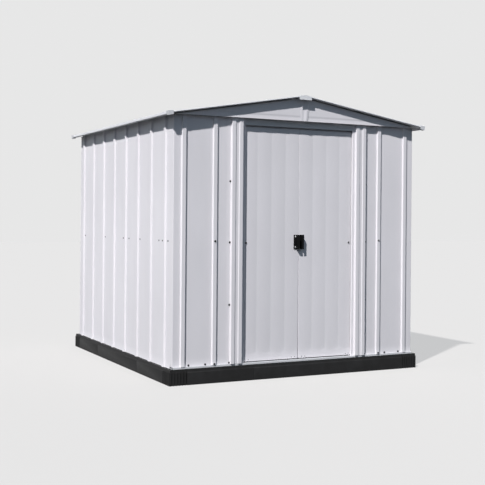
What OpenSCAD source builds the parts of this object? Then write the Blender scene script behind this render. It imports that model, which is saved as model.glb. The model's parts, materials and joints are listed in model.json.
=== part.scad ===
// Metal storage shed: ribbed sheet-steel walls on a black plastic base frame,
// a low gable roof with edge trim, and two sliding doors hung from a header track.
// Millimetres, +Z up. The origin is on the ground, under the middle of the roof.
// The doors are in the front wall, which faces -Y.

/* [Walls] */
// Width over the flat faces of the side walls
wall_w = 1740; // [1640:10:2000]
// Depth over the flat faces of the front and rear walls
wall_d = 1870; // [1700:10:2200]
// Height of the underside of the gables above the base
gable_z = 1520; // [1300:5:1900]
// Thickness of the wall, door and roof sheet
sheet_t = 0.5; // [0.3:0.1:0.8]
// Thickness of the rails, tracks and braces
frame_t = 1; // [0.6:0.1:1.6]
// Length of the bend that a corner panel makes round the corner
corner_return = 30; // [20:1:45]
// Height of the middle wall braces above the base
brace_z = 756; // [400:1:1000]

/* [Ribs] */
// How far the wall ribs stand out
rib_depth = 10; // [6:0.5:24]
// Width of a rib at its foot
rib_foot = 31; // [31:1:54]
// Width of a rib at its crest
rib_crest = 25; // [16:1:30]
// Spacing of the side wall ribs
side_pitch = 236; // [180:1:260]
// First side rib behind the front corner
side_first = 127; // [100:1:140]
// Least distance from the last side rib to the rear corner
side_last = 80; // [65:1:120]
// Spacing of the rear wall ribs
rear_pitch = 224; // [180:1:240]
// Least distance from a rear rib to the corner
rear_last = 70; // [65:1:100]
// First front rib, from the corner
front_rib_a = 65; // [62:1:90]
// Second front rib, from the foot of the jamb
front_rib_b = 107; // [64:1:150]
// Width of the lip where one panel laps over the next
lap = 12; // [8:1:16]

/* [Doors] */
// Clear width between the door jambs
opening_w = 784; // [660:4:800]
// Distance of the header's lower edge below the gables' underside
header_z = 40; // [34:1:90]
// Depth of the header track, from the wall's face to its back
header_depth = 66; // [64:1:76]
// Door's overlap behind each jamb
door_overlap = 36; // [20:1:44]
// Gap between the closed doors
door_gap = 5; // [5:0.5:10]
// Setback of the door's face behind the wall's face
door_setback = 14.5; // [8:0.5:20]
// Depth of a door's folded edges
door_edge = 22; // [14:1:23]
// Height of a door's foot above the base
door_lift = 19.5; // [18:0.5:30]
// Width of the strips pressed into a door, counted from the middle
door_strip = 100; // [60:1:140]
// Half width of the crease between two strips
door_crease = 8; // [5:0.5:14]
// Depth of the crease between two strips
door_dip = 1.5; // [1:0.5:4]
// Flat of the jamb beside the opening
jamb_flat = 19; // [10:1:26]
// Width of the jamb's raised face
jamb_face = 75; // [60:1:84]
// How far the jamb's face stands out
jamb_depth = 16; // [12:1:26]
// Height of a door handle
handle_h = 91; // [70:1:130]
// Reach of a door handle's grip
handle_reach = 25; // [15:1:40]
// Width of a door handle's plate
handle_plate = 35; // [25:1:45]
// Distance from a door's edge to the outer face of its grip
grip_inset = 18; // [12:1:24]

/* [Roof] */
// Rise of the roof for each unit across
roof_slope = 0.167; // [0.1:0.001:0.25]
// Height of the ridge above the gables' underside
ridge_rise = 154; // [140:1:240]
// Roof overhang at the sides
side_overhang = 58; // [48:1:120]
// Roof overhang at the front and rear
front_overhang = 58; // [54:1:120]
// How far the gables stand in front of the walls
gable_out = 28; // [24:1:32]
// Height of the roof ribs
roof_rib_h = 9; // [8:0.5:18]
// Spacing of the roof ribs
roof_pitch = 236; // [200:1:260]
// Least distance from a roof rib to the gable edge
roof_last = 90; // [80:1:160]
// Height of the trim along the eaves
eave_trim_h = 22; // [18:1:34]
// How far the eave trim hangs below the roof sheet
eave_drop = 10; // [4:1:16]
// Height of the trim along the gable edges
gable_trim_h = 10; // [8:0.5:10]
// Half width of the ridge cap
ridge_half = 50; // [40:1:90]
// Length of each side of a roof corner cap
corner_cap = 31; // [30:1:60]

/* [Base] */
// Height of the base
base_h = 95; // [60:1:140]
// How far the base stands out past the walls
base_out = 28; // [20:1:40]
// Width of a base rail
base_w = 90; // [70:1:110]
// Wall thickness of the base mouldings
base_wall = 6; // [4:0.5:10]
// Side of a ribbed corner block
base_corner = 115; // [100:1:140]
// Distance from a corner to the seam in a base rail
base_seam = 560; // [300:5:700]

/* [Hidden] */

steel = "#cfd0d4";
steel_inside = "#b9bbc0";
base_black = "#2a2a2d";
handle_black = "#141416";

// Small fits: a seat that nearly touches, a seam between butted pieces, room beside a moving door
seat = 0.3;
seam = 0.5;
clear = 5.2;

// Levels above the ground
base_top = base_h;
gable_foot = base_h + gable_z;
ridge_under = gable_foot + ridge_rise;
header_foot = gable_foot - header_z;
brace_mid = base_h + brace_z;

// Front sill and door heights
sill_out = 10;
sill_h = 11;
sill_groove = 8;
groove_w = 36;
sill_back = sill_groove + groove_w;
sill_stand = 15;
door_foot = base_h + door_lift;
door_head = header_foot + 10;
front_foot = base_h + sill_h + seat;

// Across the front, measured from the left corner
jamb_s = (wall_w - opening_w) / 2;
jamb_flank = 2;
jamb_slope = 3;
jamb_flange = 22;
jamb_groove = 4.5;
jamb_groove_w = 27;
jamb_groove_floor = 20;
jamb_return = door_setback - clear;
crest_in = jamb_s - jamb_flat - jamb_slope;
crest_out = crest_in - jamb_face;
jamb_foot_s = crest_out - jamb_flank;
door_s0 = jamb_s - door_overlap;
door_s1 = wall_w / 2 - door_gap / 2;

// The header's lip that the door glides run on
lip_w = 15;
lip_z = header_foot + 12;
lip_up = 6;

// Across the roof, measured down the slope from the ridge
roof_angle = atan(roof_slope);
roof_edge = (wall_w / 2 + side_overhang) / cos(roof_angle);
roof_end = wall_d / 2 + front_overhang;
ridge_gap = 14;

// Roof trims: the flange under the sheet, the lip on top, the lean of the face and the drip below the edge.
// The roof sheet ends inside the leaning face.
eave_flange = 28;
gable_flange = 22;
trim_lip = 6;
trim_lean = 4;
trim_drip = 8;
drip_in = 5;
eave_nose = 3;
roof_cut = trim_lean + 2 * frame_t + seat;
cap_wall = 2;
cap_over = 2;

// Sheet folding: a polyline of one face becomes the outline of a folded sheet.
// A positive thickness lies to the left of the line's direction.
function unit(v) = v / norm(v);
function left_of(a, b) = let (d = unit(b - a)) [-d.y, d.x];
function thick_point(p, i, t) =
    i == 0 ? p[0] + t * left_of(p[0], p[1])
    : i == len(p) - 1 ? p[i] + t * left_of(p[i - 1], p[i])
    : let (a = left_of(p[i - 1], p[i]), b = left_of(p[i], p[i + 1])) p[i] + (a + b) * t / (1 + a * b);
function folded(p, t) = concat(p, [for (i = [len(p) - 1 : -1 : 0]) thick_point(p, i, t)]);

// Points of one wall rib at a place along the wall, standing out towards -y
function wall_rib(c) = [
    [c - rib_foot / 2, 0], [c - rib_crest / 2, -rib_depth],
    [c + rib_crest / 2, -rib_depth], [c + rib_foot / 2, 0]
];
function ribbed_line(s0, s1, centres) =
    concat([[s0, 0]], [for (c = centres) each wall_rib(c)], [[s1, 0]]);

// Underside of the roof sheet at a distance from the ridge
function roof_under(x) = ridge_under - roof_slope * abs(x);

// A folded sheet that stands upright, from its plan line
module upright(line, z0, z1, t = sheet_t) {
    translate([0, 0, z0]) linear_extrude(z1 - z0) polygon(folded(line, t));
}

// A section in (inward, up) run along a wall from s0 to s1
module run(s0, s1) {
    translate([s0, 0, 0]) rotate([90, 0, 90]) linear_extrude(s1 - s0) children();
}

// Wall frames: s runs along the wall, +y points into the shed, y = 0 is the flat face
module on_front() { translate([-wall_w / 2, -wall_d / 2, 0]) children(); }
module on_rear() { translate([wall_w / 2, wall_d / 2, 0]) rotate(180) children(); }
module on_right() { translate([wall_w / 2, -wall_d / 2, 0]) rotate(90) children(); }
module on_left() { mirror([1, 0, 0]) on_right() children(); }

// Roof frame of the right slope: x runs down the slope, z = 0 is the sheet's underside
module on_slope() { translate([0, 0, ridge_under]) rotate([0, roof_angle, 0]) children(); }

// A section in (down the slope, up) run along the depth of the roof
module run_depth(y0, y1) {
    translate([0, y1, 0]) rotate([90, 0, 0]) linear_extrude(y1 - y0) children();
}

// Base: hollow black mouldings, open underneath
base_step = 6;
base_lip = 15;
base_x = wall_w / 2 + base_out;
base_y = wall_d / 2 + base_out;

module base_section() {
    difference() {
        polygon([
            [0, 0], [0, base_h - base_lip - base_step], [base_step, base_h - base_lip],
            [base_step, base_h], [base_w, base_h], [base_w, 0]
        ]);
        translate([base_step + base_wall, -1])
            square([base_w - base_step - 2 * base_wall, base_h - base_wall + 1]);
    }
}

// One rail between two corner blocks, in three lengths with seams between
module base_rail(length) {
    stops = [base_corner, base_seam, length - base_seam, length - base_corner];
    for (i = [0 : len(stops) - 2]) run(stops[i] + seam / 2, stops[i + 1] - seam / 2) base_section();
}

// Corner block with upright ribs on its two outer faces
block_rib = 5;
block_rib_w = 9;
block_rib_pitch = 19;

module base_corner_block() {
    inner = block_rib + base_wall;
    count = floor((base_corner - 2 * block_rib_w) / block_rib_pitch);
    difference() {
        translate([block_rib, block_rib, 0]) cube([base_corner - block_rib, base_corner - block_rib, base_h]);
        translate([inner, inner, -1])
            cube([base_corner - inner - base_wall, base_corner - inner - base_wall, base_h - base_wall + 1]);
    }
    for (i = [0 : count]) {
        p = block_rib + i * block_rib_pitch;
        translate([p, 0, 0]) cube([block_rib_w, block_rib + 1, base_h - base_lip]);
        translate([0, p, 0]) cube([block_rib + 1, block_rib_w, base_h - base_lip]);
    }
}

module base_corners() color(base_black) {
    for (x = [0, 1], y = [0, 1]) mirror([x, 0, 0]) mirror([0, y, 0])
        translate([-base_x, -base_y, 0]) base_corner_block();
}
module base_rail_front() color(base_black) translate([-base_x, -base_y, 0]) base_rail(2 * base_x);
module base_rail_rear() color(base_black) translate([base_x, base_y, 0]) rotate(180) base_rail(2 * base_x);
module base_rail_right() color(base_black) translate([base_x, -base_y, 0]) rotate(90) base_rail(2 * base_y);
module base_rail_left() mirror([1, 0, 0]) base_rail_right();

// Floor frame: angles inside the walls, and the front sill with its door groove
floor_flange = 42;
floor_stand = 36;
inside = 2 * sheet_t;

module floor_angle(s0, s1) {
    run(s0, s1) polygon(folded(
        [[inside, base_top + floor_stand], [inside, base_top], [floor_flange, base_top]], frame_t));
}
module floor_rail_front() color(steel_inside) on_front()
    run(sheet_t + seat, wall_w - sheet_t - seat) polygon(folded([
        [-sill_out, base_top], [-sill_out, base_top + sill_h], [sill_groove, base_top + sill_h],
        [sill_groove, base_top + frame_t], [sill_back, base_top + frame_t],
        [sill_back, base_top + sill_stand]
    ], -frame_t));
module floor_rails() color(steel_inside) {
    on_rear() floor_angle(inside, wall_w - inside);
    for (m = [0, 1]) mirror([m, 0, 0]) on_right()
        floor_angle(sill_back + frame_t + seam, wall_d - floor_flange - seam);
}

// Side walls: a front panel that laps over a rear panel behind its last rib
side_foot = base_top + seat;
side_head = roof_under(wall_w / 2 + rib_depth) - seat;
side_ribs = 1 + floor((wall_d - side_first - side_last) / side_pitch);
side_split = floor(side_ribs / 2) - 1;
function side_rib(i) = side_first + i * side_pitch;
side_lap = side_rib(side_split) + rib_foot / 2 + lap;

module side_front_panel() {
    line = ribbed_line(corner_return + seam, side_lap, [for (i = [0 : side_split]) side_rib(i)]);
    upright(line, side_foot, side_head);
}
module side_rear_panel() {
    line = ribbed_line(side_lap - lap, wall_d - corner_return - seam,
        [for (i = [side_split + 1 : side_ribs - 1]) side_rib(i)]);
    translate([0, sheet_t, 0]) upright(line, side_foot, side_head);
}
module right_wall_front_panel() color(steel) on_right() side_front_panel();
module right_wall_rear_panel() color(steel) on_right() side_rear_panel();
module left_wall_front_panel() color(steel) on_left() side_front_panel();
module left_wall_rear_panel() color(steel) on_left() side_rear_panel();

// Rear wall: two panels that bend round the corners and lap in the middle
rear_ribs = 2 * floor((wall_w - 2 * rear_last + rear_pitch) / (2 * rear_pitch));
rear_first = (wall_w - (rear_ribs - 1) * rear_pitch) / 2;
rear_split = rear_ribs / 2 - 1;
rear_head = gable_foot - seat;
function rear_rib(i) = rear_first + i * rear_pitch;
rear_lap = rear_rib(rear_split) + rib_foot / 2 + lap;

module rear_wall_left_panel() color(steel) on_rear() {
    line = concat([[0, corner_return]], ribbed_line(0, rear_lap, [for (i = [0 : rear_split]) rear_rib(i)]));
    mirror([1, 0, 0]) translate([-wall_w, 0, 0]) upright(line, side_foot, rear_head);
}
module rear_wall_right_panel() color(steel) on_rear() {
    line = concat([[0, corner_return]],
        [for (p = ribbed_line(0, wall_w - rear_lap + lap,
            [for (i = [0 : rear_ribs - rear_split - 2]) rear_rib(i)])) p + [0, sheet_t]]);
    upright(line, side_foot, rear_head);
}

// Front wall: a panel beside each jamb, and the jambs with their raised faces
module front_panel() {
    ribs = [front_rib_a, jamb_foot_s - front_rib_b];
    line = concat([[0, corner_return]], ribbed_line(0, jamb_foot_s - seam, ribs));
    upright(line, front_foot, gable_foot - seat);
}
module front_wall_left_panel() color(steel) on_front() front_panel();
module front_wall_right_panel() mirror([1, 0, 0]) front_wall_left_panel();

module jamb() {
    crest = -jamb_depth;
    groove = crest + jamb_groove;
    mid = (crest_in + crest_out) / 2;
    line = [
        [jamb_foot_s - jamb_flange, -sheet_t], [jamb_foot_s, -sheet_t], [crest_out, crest],
        [mid - jamb_groove_w / 2, crest], [mid - jamb_groove_floor / 2, groove],
        [mid + jamb_groove_floor / 2, groove], [mid + jamb_groove_w / 2, crest],
        [crest_in, crest], [jamb_s - jamb_flat, -sheet_t], [jamb_s, -sheet_t], [jamb_s, jamb_return]
    ];
    difference() {
        upright(line, front_foot, gable_foot - seat);
        translate([jamb_s - jamb_flat / 2, 0, header_foot - seat])
            cube([jamb_flat, door_setback, gable_foot - header_foot + 1]);
    }
}
module door_jamb_left() color(steel) on_front() jamb();
module door_jamb_right() mirror([1, 0, 0]) door_jamb_left();

// Header: a track behind the front wall, open below, with a lip for the door glides
module door_header() color(steel) on_front() run(sheet_t + seat, wall_w - sheet_t - seat)
    polygon(folded([
        [sheet_t, header_foot], [sheet_t, gable_foot - seat], [header_depth, gable_foot - seat],
        [header_depth, lip_z], [header_depth - lip_w, lip_z], [header_depth - lip_w, lip_z + lip_up]
    ], -frame_t));

// Top rails and braces inside the walls
rail_stand = 40;
rail_flange = 40;

module top_rail_side() run(header_depth + seam, wall_d - rail_flange - 2 * seam) polygon(folded([
        [inside, roof_under(wall_w / 2) - rail_stand], [inside, roof_under(wall_w / 2 - inside) - seat],
        [inside + rail_flange, roof_under(wall_w / 2 - inside - rail_flange) - seat]
    ], -frame_t));
module top_rail_rear() run(inside, wall_w - inside) polygon(folded([
        [inside, gable_foot - rail_stand], [inside, gable_foot - seat],
        [rail_flange, gable_foot - seat]
    ], -frame_t));
module top_rails() color(steel_inside) {
    on_rear() top_rail_rear();
    on_right() top_rail_side();
    on_left() top_rail_side();
}

brace_h = 50;
brace_hat = 30;
brace_out = 18;
brace_lean = 3;
brace_room = 10;

module brace(s0, s1) {
    run(s0, s1) polygon(folded([
        [inside, brace_mid - brace_h / 2], [inside, brace_mid - brace_hat / 2],
        [inside + brace_out, brace_mid - brace_hat / 2 + brace_lean],
        [inside + brace_out, brace_mid + brace_hat / 2 - brace_lean],
        [inside, brace_mid + brace_hat / 2], [inside, brace_mid + brace_h / 2]
    ], -frame_t));
}
module wall_braces() color(steel_inside) {
    on_right() brace(header_depth, wall_d - brace_out - frame_t - brace_room);
    on_left() brace(header_depth, wall_d - brace_out - frame_t - brace_room);
    on_rear() brace(inside, wall_w - inside);
}

// Gables: a folded sheet with a soffit flange below and one pressed bead, cut to the roof's slope
bead_z = 40;
bead = 3;
bead_half = 14;

module gable_half() {
    line = [
        [sheet_t + frame_t, gable_foot], [-gable_out, gable_foot],
        [-gable_out, gable_foot + bead_z - bead_half], [-gable_out + bead, gable_foot + bead_z],
        [-gable_out, gable_foot + bead_z + bead_half], [-gable_out, ridge_under + 1]
    ];
    intersection() {
        run(sheet_t + seat, wall_w / 2 - seam / 2) polygon(folded(line, -sheet_t));
        translate([0, wall_d, 0]) rotate([90, 0, 0]) linear_extrude(2 * wall_d) polygon([
            [0, gable_foot - 1], [wall_w / 2, gable_foot - 1], [wall_w / 2, ridge_under - seat],
            [0, roof_under(wall_w / 2) - seat]
        ]);
    }
}
module front_gable_left() color(steel) on_front() gable_half();
module front_gable_right() mirror([1, 0, 0]) front_gable_left();
module rear_gable_right() color(steel) on_rear() gable_half();
module rear_gable_left() mirror([1, 0, 0]) rear_gable_right();

splice_half = 18;
module gable_splice() {
    translate([0, -wall_d / 2 - gable_out, 0]) rotate([90, 0, 0]) linear_extrude(sheet_t) polygon([
        [-splice_half, gable_foot + 1], [splice_half, gable_foot + 1],
        [splice_half, roof_under(splice_half) - 1], [0, ridge_under - 1],
        [-splice_half, roof_under(splice_half) - 1]
    ]);
}
module gable_splices() color(steel) for (a = [0, 180]) rotate(a) gable_splice();

// Roof: ribbed panels, the front one lapped over the rear one at the middle of the depth
roof_ribs = 2 * floor((2 * roof_end - 2 * roof_last + roof_pitch) / (2 * roof_pitch));
roof_first = -(roof_ribs - 1) * roof_pitch / 2;
roof_split = roof_ribs / 2 - 1;
roof_lap = roof_first + roof_split * roof_pitch + rib_foot / 2 + lap;

function roof_rib(c) = [
    [c - rib_foot / 2, 0], [c - rib_crest / 2, roof_rib_h],
    [c + rib_crest / 2, roof_rib_h], [c + rib_foot / 2, 0]
];
module roof_sheet(y0, y1, first, last, lift) {
    line = concat([[y0, 0]],
        [for (i = [first : last]) each roof_rib(roof_first + i * roof_pitch)], [[y1, 0]]);
    on_slope() translate([0, 0, lift]) run(ridge_gap, roof_edge - roof_cut)
        polygon(folded(line, sheet_t));
}
module roof_panel_right_front() color(steel)
    roof_sheet(-roof_end + roof_cut, roof_lap, 0, roof_split, sheet_t);
module roof_panel_right_rear() color(steel)
    roof_sheet(roof_lap - lap, roof_end - roof_cut, roof_split + 1, roof_ribs - 1, 0);
module roof_panel_left_front() mirror([1, 0, 0]) roof_panel_right_front();
module roof_panel_left_rear() mirror([1, 0, 0]) roof_panel_right_rear();

// Beams under the roof, from gable to gable
beam_h = 36;
beam_w = 28;
beam_reach = wall_d / 2 + gable_out - sheet_t - bead - seat;
module roof_beam() {
    mid = roof_edge / 2;
    on_slope() run_depth(-beam_reach, beam_reach) polygon(folded([
        [mid + beam_w, -seat], [mid, -seat], [mid, -beam_h], [mid + beam_w, -beam_h]
    ], frame_t));
}
module roof_beams() color(steel_inside) for (m = [0, 1]) mirror([m, 0, 0]) roof_beam();

// Ridge cap over the tops of the ribs, bent down at both ends
cap_lift = roof_rib_h + 2 * sheet_t + seat;
ridge_flat = 16;
ridge_end_h = 23;
ridge_past = 3;

module ridge_cap() color(steel) {
    foot = roof_under(ridge_half) + cap_lift;
    crown = roof_under(ridge_flat) + cap_lift;
    reach = roof_end + ridge_past;
    run_depth(-reach, reach) polygon(folded(
        [[-ridge_half, foot], [-ridge_flat, crown], [ridge_flat, crown], [ridge_half, foot]], sheet_t));
    for (a = [0, 180]) rotate(a) run_depth(-reach, -reach + frame_t) polygon([
        [-ridge_half, foot - ridge_end_h], [ridge_half, foot - ridge_end_h], [ridge_half, foot],
        [ridge_flat, crown + sheet_t / 2], [-ridge_flat, crown + sheet_t / 2], [-ridge_half, foot]
    ]);
}

// Trim folded round the roof's edges, along the eaves and down both gable edges: a flange under the sheet,
// a drip below the edge, a nose, and a face that leans back to a lip on top
function trim_line(flange, drip, nose, top) = [
    [flange, -frame_t - seat], [2 * drip_in, -frame_t - seat], [drip_in, -drip], [0, nose],
    [trim_lean, top], [trim_lean + trim_lip, top]
];
module eave_trim_right() color(steel) on_slope() run_depth(-roof_end, roof_end)
    translate([roof_edge, 0]) mirror([1, 0])
        polygon(folded(trim_line(eave_flange, eave_drop, -eave_nose, eave_trim_h - eave_drop), -frame_t));
module eave_trim_left() mirror([1, 0, 0]) eave_trim_right();

module gable_edge_trim() {
    on_slope() run(ridge_gap, roof_edge - eave_flange - seam) translate([-roof_end, 0])
        polygon(folded(trim_line(gable_flange, trim_drip, 0, gable_trim_h - frame_t), -frame_t));
}
module front_roof_trim() color(steel) for (m = [0, 1]) mirror([m, 0, 0]) gable_edge_trim();
module rear_roof_trim() color(steel) rotate(180) for (m = [0, 1]) mirror([m, 0, 0]) gable_edge_trim();

// Caps over the four corners of the trim
module roof_corner_cap() {
    out = cap_wall + seat;
    low = -eave_drop - cap_over;
    inner_top = eave_trim_h - eave_drop + seat;
    on_slope() difference() {
        translate([roof_edge - corner_cap, -roof_end - out, low])
            cube([corner_cap + out, corner_cap + out, inner_top + cap_wall - low]);
        translate([roof_edge - corner_cap - 1, -roof_end - seat, low - 1])
            cube([corner_cap + 1 + seat, corner_cap + 2 + out, inner_top + 1 - low]);
    }
}
module roof_corner_caps() color(steel)
    for (x = [0, 1], y = [0, 1]) mirror([x, 0, 0]) mirror([0, y, 0]) roof_corner_cap();

// Doors: pans pressed into strips with a crease between, hung on glides in the header
door_creases = floor((wall_w / 2 - door_s0 - 2 * door_crease) / door_strip);
function crease(c) = [
    [c - door_crease, door_setback], [c, door_setback + door_dip], [c + door_crease, door_setback]
];
door_line = concat(
    [[door_s0, door_setback + door_edge], [door_s0, door_setback]],
    [for (k = [door_creases : -1 : 1]) each crease(wall_w / 2 - k * door_strip)],
    [[door_s1, door_setback], [door_s1, door_setback + door_edge]]
);

module door_pan() {
    upright(door_line, door_foot, door_head);
    for (z = [door_foot, door_head - sheet_t])
        translate([0, 0, z]) linear_extrude(sheet_t) polygon(door_line);
}

hanger_w = 40;
hanger_inset = 55;
hanger_leg = door_setback + 10;
glide_h = 8;
arm_z = lip_z + lip_up + 3;
module hanger(s) {
    glide_y = header_depth - lip_w + frame_t + 2;
    glide_w = lip_w - 2 * frame_t - 4;
    translate([s - hanger_w / 2, 0, 0]) {
        translate([0, hanger_leg - 9, door_head]) cube([hanger_w, 9 + frame_t, frame_t]);
        translate([0, hanger_leg, door_head]) cube([hanger_w, frame_t, arm_z + frame_t - door_head]);
        translate([0, hanger_leg, arm_z]) cube([hanger_w, glide_y + glide_w - hanger_leg, frame_t]);
        translate([0, glide_y, lip_z + frame_t + seat])
            cube([hanger_w, glide_w, arm_z - lip_z - seat]);
    }
}
door_ends = [door_s0 + hanger_inset, door_s1 - hanger_inset];
module hangers() for (s = door_ends) hanger(s);

// Guides under a door's foot, with a tongue that runs in the sill's groove
guide_cap = 4;
guide_w = 18;
guide_l = 22;
tongue_w = 8;
module guide(s) {
    mid = door_setback + door_edge / 2;
    top = door_foot - seat;
    low = base_top + frame_t + clear;
    run(s - guide_l / 2, s + guide_l / 2) {
        translate([mid - guide_w / 2, top - guide_cap]) square([guide_w, guide_cap]);
        translate([mid - tongue_w / 2, low]) square([tongue_w, top - low]);
    }
}
module guides() for (s = door_ends) guide(s);

// Handle: a plate on the door, and a grip whose wall stands out and turns in towards the door's edge
handle_t = 3;
grip_t = 4;
grip_end = 3.5;
handle_round = 8;
module grip_side(low, face, back) {
    translate([face + handle_round, low]) square([back - face - handle_round, handle_h]);
    translate([face, low + handle_round]) square([handle_round, handle_h - 2 * handle_round]);
    for (z = [low + handle_round, low + handle_h - handle_round])
        translate([face + handle_round, z]) circle(handle_round, $fn = 48);
}
module handle() {
    low = brace_mid - handle_h / 2;
    back = door_setback - seat;
    face = back - handle_t - handle_reach;
    grip_s = door_s1 - grip_inset;
    translate([door_s1 - handle_plate, back - handle_t, low]) cube([handle_plate, handle_t, handle_h]);
    intersection() {
        translate([0, 0, low]) linear_extrude(handle_h) polygon(folded(
            [[grip_s, back], [grip_s, face], [door_s1 - grip_end, face]], grip_t));
        run(grip_s, door_s1) grip_side(low, face, back);
    }
}

module left_door() color(steel) on_front() door_pan();
module left_door_hangers() color(steel_inside) on_front() hangers();
module left_door_guides() color(handle_black) on_front() guides();
module left_door_handle() color(handle_black) on_front() handle();
module right_door() mirror([1, 0, 0]) left_door();
module right_door_hangers() mirror([1, 0, 0]) left_door_hangers();
module right_door_guides() mirror([1, 0, 0]) left_door_guides();
module right_door_handle() mirror([1, 0, 0]) left_door_handle();

base_corners();
base_rail_front();
base_rail_rear();
base_rail_left();
base_rail_right();
floor_rail_front();
floor_rails();
left_wall_front_panel();
left_wall_rear_panel();
right_wall_front_panel();
right_wall_rear_panel();
rear_wall_left_panel();
rear_wall_right_panel();
front_wall_left_panel();
front_wall_right_panel();
door_jamb_left();
door_jamb_right();
door_header();
top_rails();
wall_braces();
front_gable_left();
front_gable_right();
rear_gable_left();
rear_gable_right();
gable_splices();
roof_panel_left_front();
roof_panel_left_rear();
roof_panel_right_front();
roof_panel_right_rear();
roof_beams();
ridge_cap();
eave_trim_left();
eave_trim_right();
front_roof_trim();
rear_roof_trim();
roof_corner_caps();
left_door();
left_door_hangers();
left_door_guides();
left_door_handle();
right_door();
right_door_hangers();
right_door_guides();
right_door_handle();
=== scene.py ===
"""Metal storage shed: rolled sheets, folded trims, screws and finishes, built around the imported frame."""
import json
import math

import bmesh
import bpy
import numpy as np
from mathutils import Matrix, Vector, noise


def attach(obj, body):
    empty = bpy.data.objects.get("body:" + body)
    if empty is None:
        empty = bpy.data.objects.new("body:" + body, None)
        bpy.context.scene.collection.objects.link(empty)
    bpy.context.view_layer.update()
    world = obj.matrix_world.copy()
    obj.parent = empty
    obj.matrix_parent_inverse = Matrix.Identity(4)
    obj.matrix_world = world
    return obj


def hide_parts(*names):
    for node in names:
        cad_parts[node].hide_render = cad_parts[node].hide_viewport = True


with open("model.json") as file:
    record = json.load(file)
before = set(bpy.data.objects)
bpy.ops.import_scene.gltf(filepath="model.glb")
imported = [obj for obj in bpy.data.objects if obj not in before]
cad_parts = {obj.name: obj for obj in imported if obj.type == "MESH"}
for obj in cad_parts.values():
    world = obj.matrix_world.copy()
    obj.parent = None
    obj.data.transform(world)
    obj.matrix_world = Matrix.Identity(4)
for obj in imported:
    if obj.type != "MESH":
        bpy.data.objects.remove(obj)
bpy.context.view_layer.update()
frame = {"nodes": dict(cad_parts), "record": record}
SHED = "shed"

# Sizes of the part in millimetres, as its source gives them: levels and sheets
MM = 0.001
WALL_W = 1740.0
WALL_D = 1870.0
BASE_TOP = 95.0
SILL_H = 11.0
BRACE_Z = 756.0
GABLE_Z = 1520.0
RIDGE_RISE = 154.0
HEADER_H = 40.0
SHEET = 0.5
SEAT = 0.3
SEAM = 0.5
LAP = 12.0
CORNER_RETURN = 30.0
GABLE_FOOT = BASE_TOP + GABLE_Z
RIDGE_UNDER = GABLE_FOOT + RIDGE_RISE
HEADER_FOOT = GABLE_FOOT - HEADER_H
BRACE_MID = BASE_TOP + BRACE_Z

# Ribs of the walls
RIB_DEPTH = 10.0
RIB_FOOT = 31.0
RIB_CREST = 25.0
SIDE_FIRST = 127.0
SIDE_PITCH = 236.0
SIDE_RIBS = 8
REAR_PITCH = 224.0
REAR_RIBS = 8
FRONT_RIBS = (65.0, 272.0)

# Roof
ROOF_SLOPE = 0.167
ROOF_ANGLE = math.atan(ROOF_SLOPE)
OVERHANG = 58.0
ROOF_EDGE = (WALL_W / 2 + OVERHANG) / math.cos(ROOF_ANGLE)
ROOF_END = WALL_D / 2 + OVERHANG
ROOF_PITCH = 236.0
ROOF_RIBS = 8
ROOF_RIB_H = 9.0
ROOF_CUT = 6.3
RIDGE_GAP = 14.0
EAVE_FLANGE = 28.0
GABLE_OUT = 28.0

# Heads and feet of the wall sheets
SIDE_FOOT = BASE_TOP + SEAT
SIDE_HEAD = RIDGE_UNDER - ROOF_SLOPE * (WALL_W / 2 + RIB_DEPTH) - SEAT
FRONT_FOOT = BASE_TOP + SILL_H + SEAT
WALL_HEAD = GABLE_FOOT - SEAT

# Doorway: the jambs' places are measured along the front wall from its corner
OPENING_W = 784.0
JAMB_FLAT = 19.0
JAMB_SLOPE = 3.0
JAMB_FACE = 75.0
JAMB_FLANK = 2.0
JAMB_FLANGE = 22.0
JAMB_DEPTH = 16.0
JAMB_GROOVE = 4.5
JAMB_GROOVE_TOP = 27.0
JAMB_GROOVE_FLOOR = 20.0
JAMB_RETURN = 9.3
JAMB_S = (WALL_W - OPENING_W) / 2
CREST_IN = JAMB_S - JAMB_FLAT - JAMB_SLOPE
CREST_OUT = CREST_IN - JAMB_FACE
JAMB_FOOT_S = CREST_OUT - JAMB_FLANK

# Doors and handles
DOOR_SETBACK = 14.5
DOOR_EDGE = 22.0
DOOR_BEHIND = 36.0
DOOR_CLEAR = 2.5
DOOR_LIFT = 19.5
DOOR_RISE = 10.0
DOOR_STRIP = 100.0
DOOR_S0 = JAMB_S - DOOR_BEHIND
DOOR_S1 = WALL_W / 2 - DOOR_CLEAR
DOOR_FOOT = BASE_TOP + DOOR_LIFT
DOOR_HEAD = HEADER_FOOT + DOOR_RISE
HANDLE_T = 3.0

# How the sheets are made: bend radius, mesh steps and the soft waves of thin steel
BEND = 2.2
BEND_ROOM = 0.45
BEND_STEPS = 4
CREASE_BEND = 60.0
CREASE_TURN = math.radians(25)
SMOOTH_TURN = math.radians(5)
SUPPORT = 1.2
ACROSS_STEP = 26.0
ALONG_STEP = 48.0
WAVE = 0.55
WAVE_FADE = 45.0
WAVE_ACROSS = 0.006
WAVE_ALONG = 0.0028


def roof_under(x):
    return RIDGE_UNDER - ROOF_SLOPE * abs(x)


# Places: a wall's own (along, inward, up) and the roof's (depth, out of the slope, down the slope)
def on_front(a, b, c):
    return np.stack([a - WALL_W / 2, b - WALL_D / 2, c], 1)


def on_rear(a, b, c):
    return np.stack([WALL_W / 2 - a, WALL_D / 2 - b, c], 1)


def on_right(a, b, c):
    return np.stack([WALL_W / 2 - b, a - WALL_D / 2, c], 1)


def on_slope(a, b, c):
    x = c * math.cos(ROOF_ANGLE) + b * math.sin(ROOF_ANGLE)
    z = RIDGE_UNDER - c * math.sin(ROOF_ANGLE) + b * math.cos(ROOF_ANGLE)
    return np.stack([x, a, z], 1)


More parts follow.
